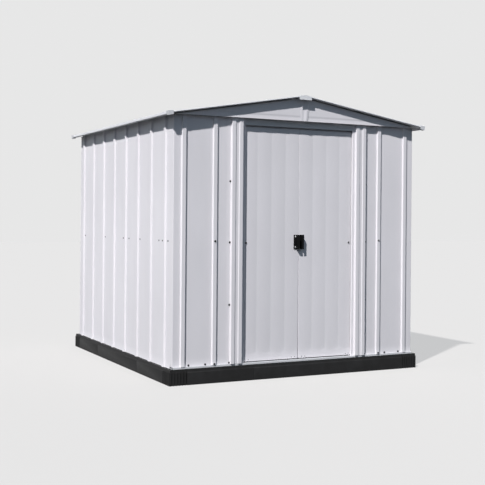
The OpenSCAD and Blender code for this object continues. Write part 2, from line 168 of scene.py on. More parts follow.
def across_front(a, b, c):
    return np.stack([c - WALL_W / 2, a - WALL_D / 2, b], 1)


def mirrored(place):
    return lambda a, b, c: place(a, b, c) * np.array([-1.0, 1.0, 1.0])


def turned(place):
    return lambda a, b, c: place(a, b, c) * np.array([-1.0, -1.0, 1.0])


FRONT_SIDES = (("left", on_front), ("right", mirrored(on_front)))
WALL_SIDES = (("right", on_right), ("left", mirrored(on_right)))
ROOF_SIDES = (("right", on_slope), ("left", mirrored(on_slope)))


# Mesh helpers
def piece_from(name, mesh, body, slot, *nodes):
    piece = bpy.data.objects.new(name, mesh)
    bpy.context.scene.collection.objects.link(piece)
    mesh.materials.append(materials[slot])
    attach(piece, body)
    if nodes:
        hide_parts(*nodes)
    return piece


def finish_mesh(bm, name, sharp=35.0):
    bmesh.ops.recalc_face_normals(bm, faces=bm.faces)
    mesh = bpy.data.meshes.new(name)
    bm.to_mesh(mesh)
    bm.free()
    mesh.polygons.foreach_set("use_smooth", [True] * len(mesh.polygons))
    mesh.set_sharp_from_angle(angle=math.radians(sharp))
    return mesh


def rounded_line(points, radius):
    """A line with its corners turned into arcs, wide ones where the sheet is only creased."""
    pts = [np.array(p, float) for p in points]
    out = [pts[0]]
    for before, corner, after in zip(pts, pts[1:], pts[2:]):
        u = (before - corner) / np.linalg.norm(before - corner)
        v = (after - corner) / np.linalg.norm(after - corner)
        half = math.acos(max(-1.0, min(1.0, float(u @ v)))) / 2
        turn = math.pi - 2 * half
        if turn < SMOOTH_TURN:
            out.append(corner)
            continue
        room = BEND_ROOM * min(np.linalg.norm(before - corner), np.linalg.norm(after - corner))
        bend = CREASE_BEND if turn < CREASE_TURN else radius
        reach = min(bend / math.tan(half), room)
        inward = (u + v) / np.linalg.norm(u + v)
        centre = corner + inward * reach / math.cos(half)
        start = corner + u * reach - centre
        end = corner + v * reach - centre
        for k in range(BEND_STEPS + 1):
            t = k / BEND_STEPS
            arm = (start * math.sin((1 - t) * turn) + end * math.sin(t * turn)) / math.sin(turn)
            out.append(centre + arm)
    return out + [pts[-1]]


def split_line(points):
    """Long flats get points between, one close to each bend; slack is the way to the nearest bend."""
    out = [points[0]]
    slack = [0.0]
    for a, b in zip(points, points[1:]):
        length = float(np.linalg.norm(b - a))
        stops = []
        if length > 3 * SUPPORT:
            count = max(1, math.ceil((length - 2 * SUPPORT) / ACROSS_STEP))
            stops = list(np.linspace(SUPPORT, length - SUPPORT, count + 1))
        for stop in stops + [length]:
            out.append(a + (b - a) * stop / length)
            slack.append(min(stop, length - stop))
    return np.array(out), np.array(slack)


def left_normals(line):
    step = np.diff(line, axis=0)
    step /= np.linalg.norm(step, axis=1)[:, None]
    side = np.stack([-step[:, 1], step[:, 0]], 1)
    before = np.vstack([side[:1], side])
    after = np.vstack([side, side[-1:]])
    return (before + after) / (1 + (before * after).sum(1))[:, None]


def shell_bm(points, across, along):
    """A closed thin shell from the grid of its front face, followed by the grid of its back face."""
    bm = bmesh.new()
    verts = [bm.verts.new(p) for p in points]
    back = across * along

    def quad(*ids):
        bm.faces.new([verts[i] for i in ids])

    for j in range(along - 1):
        for k in range(across - 1):
            i = j * across + k
            quad(i, i + 1, i + across + 1, i + across)
            quad(back + i, back + i + across, back + i + across + 1, back + i + 1)
        for k in (0, across - 1):
            i = j * across + k
            quad(i, i + across, back + i + across, back + i)
    for j in (0, along - 1):
        for k in range(across - 1):
            i = j * across + k
            quad(i, back + i, back + i + 1, i + 1)
    return bm


def sheet_bm(line, c0, c1, place, thickness=SHEET, radius=BEND, wave=WAVE, seed=0.0, push=None, lean=None,
             stops=()):
    """A bent sheet: a line swept from c0 to c1, thick to the left of the line, gently waved on the flats.

    push says how far the sheet is pressed inward at a place along the line and a level.
    lean says how far it is moved along the line there.
    """
    front, slack = split_line(rounded_line(line, radius))
    normal = left_normals(front)
    back = front + normal * thickness
    count = max(1, math.ceil((c1 - c0) / ALONG_STEP))
    levels = np.unique(np.concatenate([np.linspace(c0, c1, count + 1), np.array(stops, float)]))
    fade = np.minimum(slack / WAVE_FADE, 1.0) ** 2
    rows = []
    for face in (front, back):
        for level in levels:
            end = min(1.0, min(level - c0, c1 - level) / (2 * WAVE_FADE))
            lift = np.array([
                noise.noise(Vector((p[0] * WAVE_ACROSS, level * WAVE_ALONG, seed))) * f * end * wave
                for p, f in zip(front, fade)
            ])
            spot = face + normal * lift[:, None]
            if push:
                spot[:, 1] += push(front[:, 0], front[:, 1], level)
            if lean:
                spot[:, 0] += lean(front[:, 0], level)
            rows.append(place(spot[:, 0], spot[:, 1], np.full(len(spot), level)))
    return shell_bm(np.vstack(rows) * MM, len(front), len(levels))


def sheet(node, body, slot, *args, **more):
    """A bent sheet as a new piece in a CAD node's place."""
    name = node + "_sheet"
    return piece_from(name, finish_mesh(sheet_bm(*args, **more), name), body, slot, node)


def joined(name, sheets):
    """One mesh of several bent sheets."""
    whole = bmesh.new()
    for bm in sheets:
        part = bpy.data.meshes.new("part")
        bm.to_mesh(part)
        bm.free()
        whole.from_mesh(part)
        bpy.data.meshes.remove(part)
    return finish_mesh(whole, name)


SAME_POINT = 1e-6
FLAT_TURN = math.radians(1)
EDGE_TURN = math.radians(20)
EASED_SHARP = 25.0


def eased(node, body, slot, width):
    """A CAD node's own shape with its edges eased, as a new piece in its place."""
    bm = bmesh.new()
    bm.from_mesh(frame["nodes"][node].data)
    bmesh.ops.remove_doubles(bm, verts=bm.verts, dist=SAME_POINT)
    bmesh.ops.dissolve_limit(bm, angle_limit=FLAT_TURN, verts=bm.verts, edges=bm.edges)
    edges = [e for e in bm.edges if len(e.link_faces) == 2 and e.calc_face_angle() > EDGE_TURN]
    bmesh.ops.bevel(
        bm, geom=edges, offset=width * MM, segments=2, affect="EDGES", profile=0.5, clamp_overlap=True)
    name = node + "_eased"
    return piece_from(name, finish_mesh(bm, name, EASED_SHARP), body, slot, node)


# Materials: each is one set of noise layers over a Principled surface
def new_material(name):
    material = bpy.data.materials.new(name)
    material.use_nodes = True
    tree = material.node_tree
    return material, tree, tree.nodes["Principled BSDF"]


def add_noise(tree, scale, detail, stretch=(1, 1, 1)):
    where = tree.nodes.new("ShaderNodeTexCoord")
    turn = tree.nodes.new("ShaderNodeMapping")
    turn.inputs["Scale"].default_value = stretch
    texture = tree.nodes.new("ShaderNodeTexNoise")
    texture.inputs["Scale"].default_value = scale
    texture.inputs["Detail"].default_value = detail
    tree.links.new(where.outputs["Object"], turn.inputs["Vector"])
    tree.links.new(turn.outputs["Vector"], texture.inputs["Vector"])
    return texture.outputs["Fac"]


def add_ramp(tree, value, low, high, start=0.35, end=0.65):
    ramp = tree.nodes.new("ShaderNodeValToRGB")
    ramp.color_ramp.elements[0].position = start
    ramp.color_ramp.elements[1].position = end
    ramp.color_ramp.elements[0].color = (*low, 1)
    ramp.color_ramp.elements[1].color = (*high, 1)
    tree.links.new(value, ramp.inputs["Fac"])
    return ramp.outputs["Color"]


def add_range(tree, value, low, high):
    spread = tree.nodes.new("ShaderNodeMapRange")
    spread.inputs["To Min"].default_value = low
    spread.inputs["To Max"].default_value = high
    tree.links.new(value, spread.inputs["Value"])
    return spread.outputs["Result"]


def add_bump(tree, surface, value, strength, depth):
    bump = tree.nodes.new("ShaderNodeBump")
    bump.inputs["Strength"].default_value = strength
    bump.inputs["Distance"].default_value = depth
    tree.links.new(value, bump.inputs["Height"])
    tree.links.new(bump.outputs["Normal"], surface.inputs["Normal"])


def scaled(colour, factor):
    return [min(1.0, channel * factor) for channel in colour]


# Painted shade at the feet: the paint's share at the ground, and the height in metres above which it is not
# darkened
GROUND_SHADE = 0.93
GROUND_SHADE_TOP = 0.9


def add_ground_shade(tree, colour):
    """Painted shade: the colour a little darker towards the ground, standing in for the little light that
    the ground throws back up.
    """
    where = tree.nodes.new("ShaderNodeTexCoord")
    height = tree.nodes.new("ShaderNodeSeparateXYZ")
    tree.links.new(where.outputs["Object"], height.inputs["Vector"])
    unshaded = tree.nodes.new("ShaderNodeMapRange")
    unshaded.inputs["From Max"].default_value = GROUND_SHADE_TOP
    unshaded.inputs["To Min"].default_value = GROUND_SHADE
    tree.links.new(height.outputs["Z"], unshaded.inputs["Value"])
    shade = tree.nodes.new("ShaderNodeVectorMath")
    shade.operation = "SCALE"
    tree.links.new(colour, shade.inputs["Vector"])
    tree.links.new(unshaded.outputs["Result"], shade.inputs["Scale"])
    return shade.outputs["Vector"]


def painted(name, colour, rough):
    """Baked enamel on steel: faint cloudy tint, painted shade darker towards the ground, uneven sheen and a
    fine orange-peel skin.
    """
    material, tree, surface = new_material(name)
    cloud = add_noise(tree, scale=3.2, detail=5.0, stretch=(1, 1, 0.45))
    tint = add_ramp(tree, cloud, low=scaled(colour, 0.965), high=scaled(colour, 1.025))
    # painted shade: the base colour darkens towards the ground
    tree.links.new(add_ground_shade(tree, tint), surface.inputs["Base Color"])
    sheen = add_noise(tree, scale=9.0, detail=4.0)
    gloss = add_range(tree, sheen, low=rough - 0.06, high=rough + 0.08)
    tree.links.new(gloss, surface.inputs["Roughness"])
    surface.inputs["Specular IOR Level"].default_value = 0.3
    add_bump(tree, surface, add_noise(tree, scale=700.0, detail=2.0), strength=0.12, depth=0.0004)
    return material


def galvanised(name, colour):
    """Zinc-coated steel: soft spangle in tint and gloss."""
    material, tree, surface = new_material(name)
    where = tree.nodes.new("ShaderNodeTexCoord")
    spangle = tree.nodes.new("ShaderNodeTexVoronoi")
    spangle.inputs["Scale"].default_value = 90.0
    tree.links.new(where.outputs["Object"], spangle.inputs["Vector"])
    cells = tree.nodes.new("ShaderNodeRGBToBW")
    tree.links.new(spangle.outputs["Color"], cells.inputs["Color"])
    value = cells.outputs["Val"]
    tint = add_ramp(tree, value, low=scaled(colour, 0.86), high=scaled(colour, 1.12), start=0.1, end=0.9)
    tree.links.new(tint, surface.inputs["Base Color"])
    tree.links.new(add_range(tree, value, low=0.36, high=0.5), surface.inputs["Roughness"])
    surface.inputs["Metallic"].default_value = 0.85
    return material


def moulded(name, colour, rough, grain, depth, gloss):
    """Black moulded plastic: fine grain, scuffed sheen."""
    material, tree, surface = new_material(name)
    scuff = add_noise(tree, scale=14.0, detail=6.0)
    tint = add_ramp(tree, scuff, low=scaled(colour, 0.7), high=scaled(colour, 1.35))
    tree.links.new(tint, surface.inputs["Base Color"])
    tree.links.new(add_range(tree, scuff, low=rough - 0.08, high=rough + 0.1), surface.inputs["Roughness"])
    surface.inputs["Specular IOR Level"].default_value = gloss
    add_bump(tree, surface, add_noise(tree, scale=grain, detail=3.0), strength=0.35, depth=depth)
    return material


PAINT = (0.78, 0.75, 0.778)
# The roof and trim colours are darker copies of the wall paint: painted shade that holds down their
# strongly lit tops
ROOF_PAINT_SHADED = (0.53, 0.535, 0.56)
TRIM_PAINT_SHADED = (0.66, 0.66, 0.68)
ZINC = (0.52, 0.53, 0.55)
BASE_BLACK = (0.009, 0.009, 0.0095)
HANDLE_BLACK = (0.004, 0.004, 0.0045)
materials = {
    "wall_paint": painted("wall_paint_enamel", PAINT, rough=0.42),
    "door_paint": painted("door_paint_enamel", PAINT, rough=0.42),
    "roof_paint": painted("roof_paint_enamel", ROOF_PAINT_SHADED, rough=0.45),
    "trim_paint": painted("trim_paint_enamel", TRIM_PAINT_SHADED, rough=0.4),
    "frame_steel": galvanised("frame_steel_zinc", ZINC),
    "base_plastic": moulded(
        "base_plastic_grain", BASE_BLACK, rough=0.6, grain=260.0, depth=0.0012, gloss=0.22),
    "handle_plastic": moulded(
        "handle_plastic_satin", HANDLE_BLACK, rough=0.45, grain=900.0, depth=0.0003, gloss=0.08),
}

# Ribbed wall panels, whose feet kick out a little over the sill
KICK_OUT = 3.2
KICK_Z = 24.0


def kick_from(foot):
    """How far a sheet with this foot leans out, as a press for sheet_bm."""
    def press(along, inward, level):
        return np.full(len(along), -KICK_OUT * max(0.0, 1.0 - (level - foot) / KICK_Z))
    return press


def ribbed_line(s0, s1, centres, level=0.0, height=-RIB_DEPTH):
    """A sheet's line from s0 to s1 with a rib at each centre; walls have theirs outward, so below zero."""
    line = [(s0, level)]
    for c in centres:
        line += [(c - RIB_FOOT / 2, level), (c - RIB_CREST / 2, level + height),
                 (c + RIB_CREST / 2, level + height), (c + RIB_FOOT / 2, level)]
    return line + [(s1, level)]


def wall_panel(node, line, foot, head, place, seed):
    sheet(node, SHED, "wall_paint", line, foot, head, place,
          seed=seed, push=kick_from(foot), stops=(foot + KICK_Z,))


side_ribs = [SIDE_FIRST + i * SIDE_PITCH for i in range(SIDE_RIBS)]
side_half = SIDE_RIBS // 2
side_lap = side_ribs[side_half - 1] + RIB_FOOT / 2 + LAP
side_front_line = ribbed_line(CORNER_RETURN + SEAM, side_lap, side_ribs[:side_half])
side_rear_line = ribbed_line(side_lap - LAP, WALL_D - CORNER_RETURN - SEAM, side_ribs[side_half:], SHEET)

rear_first = (WALL_W - (REAR_RIBS - 1) * REAR_PITCH) / 2
rear_ribs = [rear_first + i * REAR_PITCH for i in range(REAR_RIBS)]
rear_half = REAR_RIBS // 2
rear_lap = rear_ribs[rear_half - 1] + RIB_FOOT / 2 + LAP
corner_bend = [(0.0, CORNER_RETURN)]
rear_left_line = corner_bend + ribbed_line(0, rear_lap, rear_ribs[:rear_half])
rear_right_end = WALL_W - rear_lap + LAP
rear_right_line = corner_bend + ribbed_line(0, rear_right_end, rear_ribs[:REAR_RIBS - rear_half], SHEET)

for seed, (side, place) in enumerate(WALL_SIDES):
    wall_panel(f"{side}_wall_front_panel", side_front_line, SIDE_FOOT, SIDE_HEAD, place, seed=seed)
    wall_panel(f"{side}_wall_rear_panel", side_rear_line, SIDE_FOOT, SIDE_HEAD, place, seed=seed + 3)
wall_panel("rear_wall_left_panel", rear_left_line, SIDE_FOOT, WALL_HEAD, mirrored(on_rear), seed=6)
wall_panel("rear_wall_right_panel", rear_right_line, SIDE_FOOT, WALL_HEAD, on_rear, seed=7)

# Front panels and jambs; the jambs' returns end below the header
FRONT_SEED = 4
HEADER_CUT = HEADER_FOOT - SEAT
CUT_STEP = 0.05
front_line = corner_bend + ribbed_line(0, JAMB_FOOT_S - SEAM, FRONT_RIBS)
jamb_mid = (CREST_IN + CREST_OUT) / 2
groove_floor = JAMB_GROOVE - JAMB_DEPTH
jamb_line = [
    (JAMB_FOOT_S - JAMB_FLANGE, -SHEET), (JAMB_FOOT_S, -SHEET), (CREST_OUT, -JAMB_DEPTH),
    (jamb_mid - JAMB_GROOVE_TOP / 2, -JAMB_DEPTH), (jamb_mid - JAMB_GROOVE_FLOOR / 2, groove_floor),
    (jamb_mid + JAMB_GROOVE_FLOOR / 2, groove_floor), (jamb_mid + JAMB_GROOVE_TOP / 2, -JAMB_DEPTH),
    (CREST_IN, -JAMB_DEPTH), (JAMB_S - JAMB_FLAT, -SHEET), (JAMB_S, -SHEET), (JAMB_S, JAMB_RETURN),
]


def clear_of_header(along, inward, level):
    return np.minimum(0.0, -inward) * (level > HEADER_CUT)


for seed, (side, place) in enumerate(FRONT_SIDES, FRONT_SEED):
    wall_panel(f"front_wall_{side}_panel", front_line, FRONT_FOOT, WALL_HEAD, place, seed=seed)
    sheet(f"door_jamb_{side}", SHED, "wall_paint", jamb_line, FRONT_FOOT, WALL_HEAD, place, wave=0.0,
          push=clear_of_header, stops=(HEADER_CUT, HEADER_CUT + CUT_STEP))

# Gables: a hem and soffit at the foot, a shallow bead above it, and a head cut to the slope of the roof
BEAD = 1.35
BEAD_LOW = 23.0
BEAD_HIGH = 34.0
HEM = 3.0
SOFFIT_UP = 7.0
SOFFIT_LAP = 1.0
SOFFIT = GABLE_FOOT + SOFFIT_UP
SOFFIT_IN = SHEET + SOFFIT_LAP
GABLE_SPARE = 1.0
GABLE_GAP = 7.0
GABLE_WAVE = 0.35
gable_line = [
    (SOFFIT_IN, SOFFIT), (HEM - GABLE_OUT, SOFFIT), (HEM - GABLE_OUT, GABLE_FOOT), (-GABLE_OUT, GABLE_FOOT),
    (BEAD - GABLE_OUT, GABLE_FOOT + BEAD_LOW), (-GABLE_OUT, GABLE_FOOT + BEAD_HIGH),
    (-GABLE_OUT, RIDGE_UNDER + GABLE_SPARE),
]


def gable(node, place, flip):
    bm = sheet_bm(gable_line, SHEET + SEAT, WALL_W / 2 - SEAM / 2, place,
                  thickness=-SHEET, wave=GABLE_WAVE, seed=9.0)
    slant = Vector((-flip * math.sin(ROOF_ANGLE), 0, math.cos(ROOF_ANGLE)))
    ridge = Vector((0, 0, (RIDGE_UNDER - GABLE_GAP) * MM))
    cut = bmesh.ops.bisect_plane(
        bm, geom=bm.verts[:] + bm.edges[:] + bm.faces[:], plane_co=ridge, plane_no=slant, clear_outer=True)
    rim = [e for e in cut["geom_cut"] if isinstance(e, bmesh.types.BMEdge)]
    bmesh.ops.holes_fill(bm, edges=rim)
    piece_from(node + "_sheet", finish_mesh(bm, node + "_sheet"), SHED, "wall_paint", node)


gable("front_gable_left", across_front, 1)
gable("front_gable_right", mirrored(across_front), -1)
gable("rear_gable_right", turned(across_front), -1)
gable("rear_gable_left", mirrored(turned(across_front)), 1)

# Splice plates over the middle of the gables: a crease, and beside it a ridge that narrows towards the foot
SPLICE_CREASE = 2.0
SPLICE_END = 56.0
SPLICE_FOLD = ((-18.0, 0.8), (-5.0, 1.6), (SPLICE_CREASE, 0.4), (35.0, 3.8), (SPLICE_END, 0.8))
SPLICE_TAPER = 0.4
SPLICE_UP = 1.0
SPLICE_FOOT = GABLE_FOOT + SPLICE_UP
SPLICE_HEAD = roof_under(SPLICE_END) - GABLE_GAP
splice_line = [(WALL_W / 2 + x, -GABLE_OUT - out) for x, out in SPLICE_FOLD]


def taper_splice(along, level):
    past_crease = np.clip(along - WALL_W / 2 - SPLICE_CREASE, 0.0, None)
    return -past_crease * SPLICE_TAPER * (SPLICE_HEAD - level) / (SPLICE_HEAD - SPLICE_FOOT)


splices = [sheet_bm(splice_line, SPLICE_FOOT, SPLICE_HEAD, place, wave=0.0, lean=taper_splice)
           for place in (on_front, on_rear)]
splice_mesh = joined("gable_splices_sheet", splices)
piece_from("gable_splices_sheet", splice_mesh, SHED, "wall_paint", "gable_splices")

# Roof panels: the front ones lap over the rear ones
ROOF_SEED = 10
roof_ribs = [(i - (ROOF_RIBS - 1) / 2) * ROOF_PITCH for i in range(ROOF_RIBS)]
roof_half = ROOF_RIBS // 2
roof_lap = roof_ribs[roof_half - 1] + RIB_FOOT / 2 + LAP
roof_in = ROOF_END - ROOF_CUT
roof_ends = (
    ("front", ribbed_line(-roof_in, roof_lap, roof_ribs[:roof_half], SHEET, ROOF_RIB_H)),
    ("rear", ribbed_line(roof_lap - LAP, roof_in, roof_ribs[roof_half:], 0.0, ROOF_RIB_H)),
)
for i, (side, place) in enumerate(ROOF_SIDES):
    for k, (end, line) in enumerate(roof_ends):
        sheet(f"roof_panel_{side}_{end}", SHED, "roof_paint", line, RIDGE_GAP, ROOF_EDGE - ROOF_CUT, place,
              seed=ROOF_SEED - i - k)

# Trim along the gable edges: a flange under the roof, a nose that stands over it and a lip on top
RAKE_T = 0.8
RAKE_FLANGE = 22.0
RAKE_TUCK = 5.5
RAKE_NOSE = 3.2
RAKE_PROUD = 1.3
RAKE_TOP = 9.2
RAKE_LEAN = 2.0
RAKE_LIP = 10.0
RAKE_FOOT = -RAKE_T - SEAT
RAKE_END = ROOF_EDGE - EAVE_FLANGE - SEAM
RAKE_FOLD = ((RAKE_FLANGE, RAKE_FOOT), (RAKE_TUCK, RAKE_FOOT), (-RAKE_PROUD, RAKE_NOSE),
             (RAKE_LEAN - RAKE_PROUD, RAKE_TOP), (RAKE_LIP, RAKE_TOP))
rake_line = [(inward - ROOF_END, level) for inward, level in RAKE_FOLD]


def rake_half(place):
    return sheet_bm(rake_line, RIDGE_GAP, RAKE_END, place, thickness=-RAKE_T, radius=RAKE_T, wave=0.0)


for node, places in (("front_roof_trim", (on_slope, mirrored(on_slope))),
                     ("rear_roof_trim", (turned(on_slope), mirrored(turned(on_slope))))):
    name = node + "_sheet"
    piece_from(name, joined(name, [rake_half(place) for place in places]), SHED, "trim_paint", node)

# Doors: crowned strips that flatten at the foot and step back under the header, with a plate at both ends.
# Towards the head the two doors lean together.
DOOR_CROWN = 1.1
CROWN_STEPS = 8
DOOR_BEND = 1.0
DOOR_SEED = 24.0
FOOT_BAND = 42.0
BAND_FADE = 10.0
EDGE_ROOM = 4.0
STEP_BACK = 21.0
STEP_BELOW = 8.0
STEP_Z = HEADER_FOOT - STEP_BELOW
STEP_RISE = 1.0
SKIN_DROP = 3.0
DOOR_KICK = 4.0
CLOSE_BY = 2.2
CLOSE_Z = 1050.0
CLOSE_WIDTH = 60.0
PLATE_IN = 1.0
door_stops = (DOOR_FOOT + FOOT_BAND, DOOR_FOOT + FOOT_BAND + BAND_FADE, STEP_Z, STEP_Z + STEP_RISE)


def door_line():
    line = [(DOOR_S0, DOOR_SETBACK + DOOR_EDGE), (DOOR_S0, DOOR_SETBACK)]
    count = int((WALL_W / 2 - DOOR_S0) // DOOR_STRIP)
    edges = [WALL_W / 2 - k * DOOR_STRIP for k in range(count, 0, -1)] + [DOOR_S1]
    for left, right in zip(edges, edges[1:]):
        for k in range(CROWN_STEPS + (right == DOOR_S1)):
            t = k / CROWN_STEPS
            line.append((left + (right - left) * t, DOOR_SETBACK + DOOR_CROWN * (2 * t - 1) ** 2))
    return line + [(DOOR_S1, DOOR_SETBACK + DOOR_EDGE)]


def press_door(along, inward, level):
    flat = 1.0 - min(1.0, max(0.0, (level - DOOR_FOOT - FOOT_BAND) / BAND_FADE))
    step = min(1.0, max(0.0, (level - STEP_Z) / STEP_RISE)) * STEP_BACK
    kick = DOOR_KICK * max(0.0, 1.0 - (level - DOOR_FOOT + SKIN_DROP) / FOOT_BAND)
    strips = (along > DOOR_S0 + EDGE_ROOM) & (along < DOOR_S1 - EDGE_ROOM)
    pressed = np.where(strips, (DOOR_SETBACK - inward) * flat, 0.0) - kick
    return pressed + np.where(inward < DOOR_SETBACK + STEP_BACK, step, 0.0)


def close_door(along, level):
    part = min(1.0, (level - DOOR_FOOT + SKIN_DROP) / (CLOSE_Z - DOOR_FOOT))
    return CLOSE_BY * part * np.clip((along - DOOR_S1 + CLOSE_WIDTH) / CLOSE_WIDTH, 0.0, 1.0)


def add_end_plate(bm, place, z):
    """A thin plate that closes the door's pan at one end."""
    along = np.array([DOOR_S0 + PLATE_IN, DOOR_S0 + PLATE_IN, DOOR_S1 - PLATE_IN, DOOR_S1 - PLATE_IN])
    near, far = DOOR_SETBACK + PLATE_IN, DOOR_SETBACK + DOOR_EDGE
    inward = np.array([far, near, near, far])
    low, high = ([bm.verts.new(p) for p in place(along, inward, np.full(len(along), level)) * MM]
                 for level in (z, z + SHEET))
    bm.faces.new(low)
    bm.faces.new(high)
    for i in range(len(low)):
        j = (i + 1) % len(low)
        bm.faces.new([low[i], low[j], high[j], high[i]])


for seed, (side, place) in enumerate(FRONT_SIDES):
    bm = sheet_bm(door_line(), DOOR_FOOT - SKIN_DROP, DOOR_HEAD, place, radius=DOOR_BEND,
                  seed=DOOR_SEED + seed, push=press_door, lean=close_door, stops=door_stops)
    for z in (DOOR_FOOT, DOOR_HEAD - SHEET):
        add_end_plate(bm, place, z)
    name = f"{side}_door_sheet"
    piece_from(name, finish_mesh(bm, name), f"door_{side}", "door_paint", f"{side}_door")

# Pieces that keep their CAD shape with eased edges; the ridge cap is drawn in and its closed ends lean back
CAP_LEAN = 0.11
CAP_NARROW = 0.89
CAP_PAST = 1.5
CAP_END = (ROOF_END + CAP_PAST) * MM
for node in ("base_corners", "base_rail_front", "base_rail_rear", "base_rail_left", "base_rail_right"):
    eased(node, SHED, "base_plastic", width=1.6)
for node in ("floor_rail_front", "door_header", "eave_trim_left", "eave_trim_right"):
    eased(node, SHED, "trim_paint", width=0.2)
cap = eased("ridge_cap", SHED, "trim_paint", width=0.2).data
cap_low = min(vertex.co.z for vertex in cap.vertices)
for vertex in cap.vertices:
    vertex.co.x *= CAP_NARROW
    if abs(vertex.co.y) > CAP_END:
        vertex.co.y -= math.copysign((vertex.co.z - cap_low) * CAP_LEAN, vertex.co.y)
eased("roof_corner_caps", SHED, "trim_paint", width=0.8)
for side in ("left", "right"):
    eased(f"{side}_door_handle", f"door_{side}", "handle_plastic", width=0.9)
    eased(f"{side}_door_guides", f"door_{side}", "handle_plastic", width=0.6)

# Screws: a pan head with a rim and a driver recess, turned about its axis, in rows along the sheets
SCREW_SIDES = 12
SCREW_TURN = ((5.2, 0.0), (5.2, 0.7), (4.6, 1.1), (4.4, 2.2), (3.4, 3.1), (1.9, 3.5), (1.6, 2.4))
SCREW_SINK = 0.2
OUT_LEFT = (-1, 0, 0)
OUT_RIGHT = (1, 0, 0)
OUT_FRONT = (0, -1, 0)
OUT_REAR = (0, 1, 0)
dark_zinc = galvanised("screw_dark_zinc", (0.05, 0.05, 0.054))
black_zinc = galvanised("screw_black_zinc", (0.02, 0.02, 0.022))
bright_zinc = galvanised("screw_bright_zinc", (0.6, 0.61, 0.63))


def add_screw(bm, point, out, scale):
    out = Vector(out).normalized()
    turn = out.to_track_quat("Z", "Y").to_matrix()
    base = Vector(point) - out * SCREW_SINK
    rings = []
    for radius, height in SCREW_TURN:
        ring = []
        for k in range(SCREW_SIDES):
            angle = 2 * math.pi * k / SCREW_SIDES
            arm = Vector((radius * math.cos(angle), radius * math.sin(angle), height)) * scale
            ring.append(bm.verts.new((base + turn @ arm) * MM))
        rings.append(ring)
    for low, high in zip(rings, rings[1:]):
        for k in range(SCREW_SIDES):
            j = (k + 1) % SCREW_SIDES
            bm.faces.new([low[k], low[j], high[j], high[k]])
    bm.faces.new(rings[0])
    bm.faces.new(rings[-1])


def screw_row(name, body, finish, place, places, out, scale=1.0):
    """One mesh of screw heads at (along, inward, up) places on a sheet that faces out."""
    bm = bmesh.new()
    for point in place(*(np.array(column, float) for column in zip(*places))):
        add_screw(bm, point, out, scale)
    piece = piece_from(name, finish_mesh(bm, name), body, "frame_steel")
    piece.data.materials[0] = finish


# Side and rear walls: one row along the middle braces
MID_Z = 858.0
SIDE_SCREWS = (78.0, 168.0, 225.0, 559.0, 768.0, 882.0, 1268.0, 1742.0)
side_places = [(s, 0.0 if s < side_lap else SHEET, MID_Z) for s in SIDE_SCREWS]
rear_screws = [c + REAR_PITCH / 2 for c in rear_ribs[:-1]]
rear_places = [(s, 0.0 if s > WALL_W - rear_lap else SHEET, MID_Z) for s in rear_screws]
screw_row("right_wall_screws", SHED, dark_zinc, on_right, side_places, OUT_RIGHT)
screw_row("left_wall_screws", SHED, dark_zinc, mirrored(on_right), side_places, OUT_LEFT)
screw_row("rear_wall_screws", SHED, dark_zinc, on_rear, rear_places, OUT_REAR)

# Front panels: along the sill and up the jamb's flange, with one on the second rib and one on each door
SCREW_UP = 7.0
SILL_SCREWS = (105.0, 215.0)
FLANGE_SCREWS = (468.0, 850.0, 1225.0)
FLANGE_IN = 4.5
FRONT_SCREW_SCALE = 1.25
DOOR_SCREW = (494.0, DOOR_SETBACK, 846.0)
rib_s = FRONT_RIBS[1]
flange_s = JAMB_FOOT_S - FLANGE_IN
sill_z = FRONT_FOOT + SCREW_UP
foot_lean = -KICK_OUT * (1.0 - SCREW_UP / KICK_Z)
front_places = [(rib_s, -RIB_DEPTH, MID_Z), (rib_s, foot_lean - RIB_DEPTH, sill_z)]
front_places += [(s, foot_lean, sill_z) for s in SILL_SCREWS]
front_places += [(flange_s, -SHEET, z) for z in (sill_z, *FLANGE_SCREWS)]
for side, place in FRONT_SIDES:
    screw_row(f"front_{side}_screws", SHED, black_zinc, place, front_places, OUT_FRONT, FRONT_SCREW_SCALE)
    screw_row(f"{side}_door_screw", f"door_{side}", black_zinc, place, [DOOR_SCREW], OUT_FRONT,
              FRONT_SCREW_SCALE)

# Door guides: two flat screws over each, at the meeting edge and just inside the jamb
GUIDE_SCREW_UP = 6.0
GUIDE_SCREW_SINK = 1.7
GUIDE_SCREW_SCALE = 0.75
GUIDE_INNER = (26.0, 50.0)
GUIDE_OUTER = (14.0, 36.0)
guide_lean = DOOR_KICK * (1.0 - (GUIDE_SCREW_UP + SKIN_DROP) / FOOT_BAND)
guide_face = DOOR_SETBACK - guide_lean + GUIDE_SCREW_SINK
guide_stops = [WALL_W / 2 - s for s in GUIDE_INNER] + [JAMB_S + s for s in GUIDE_OUTER]
guide_places = [(s, guide_face, DOOR_FOOT + GUIDE_SCREW_UP) for s in guide_stops]
for side, place in FRONT_SIDES:
    screw_row(f"{side}_guide_screws", f"door_{side}", black_zinc, place, guide_places, OUT_FRONT,
              GUIDE_SCREW_SCALE)

# Roof: a row over the beams and a row along the eaves, one screw between each pair of ribs
BEAM_PAST = 14.0
EAVE_ROW_IN = 9.0
roof_flats = [c + ROOF_PITCH / 2 for c in roof_ribs[:-1]]
roof_rows = (ROOF_EDGE / 2 + BEAM_PAST, ROOF_EDGE - EAVE_FLANGE + EAVE_ROW_IN)
roof_places = [(y, SHEET * (2 if y < roof_lap else 1), c) for y in roof_flats for c in roof_rows]
for (side, place), tilt in zip(ROOF_SIDES, (1, -1)):
    out = (tilt * math.sin(ROOF_ANGLE), 0, math.cos(ROOF_ANGLE))
    screw_row(f"roof_{side}_screws", SHED, bright_zinc, place, roof_places, out)

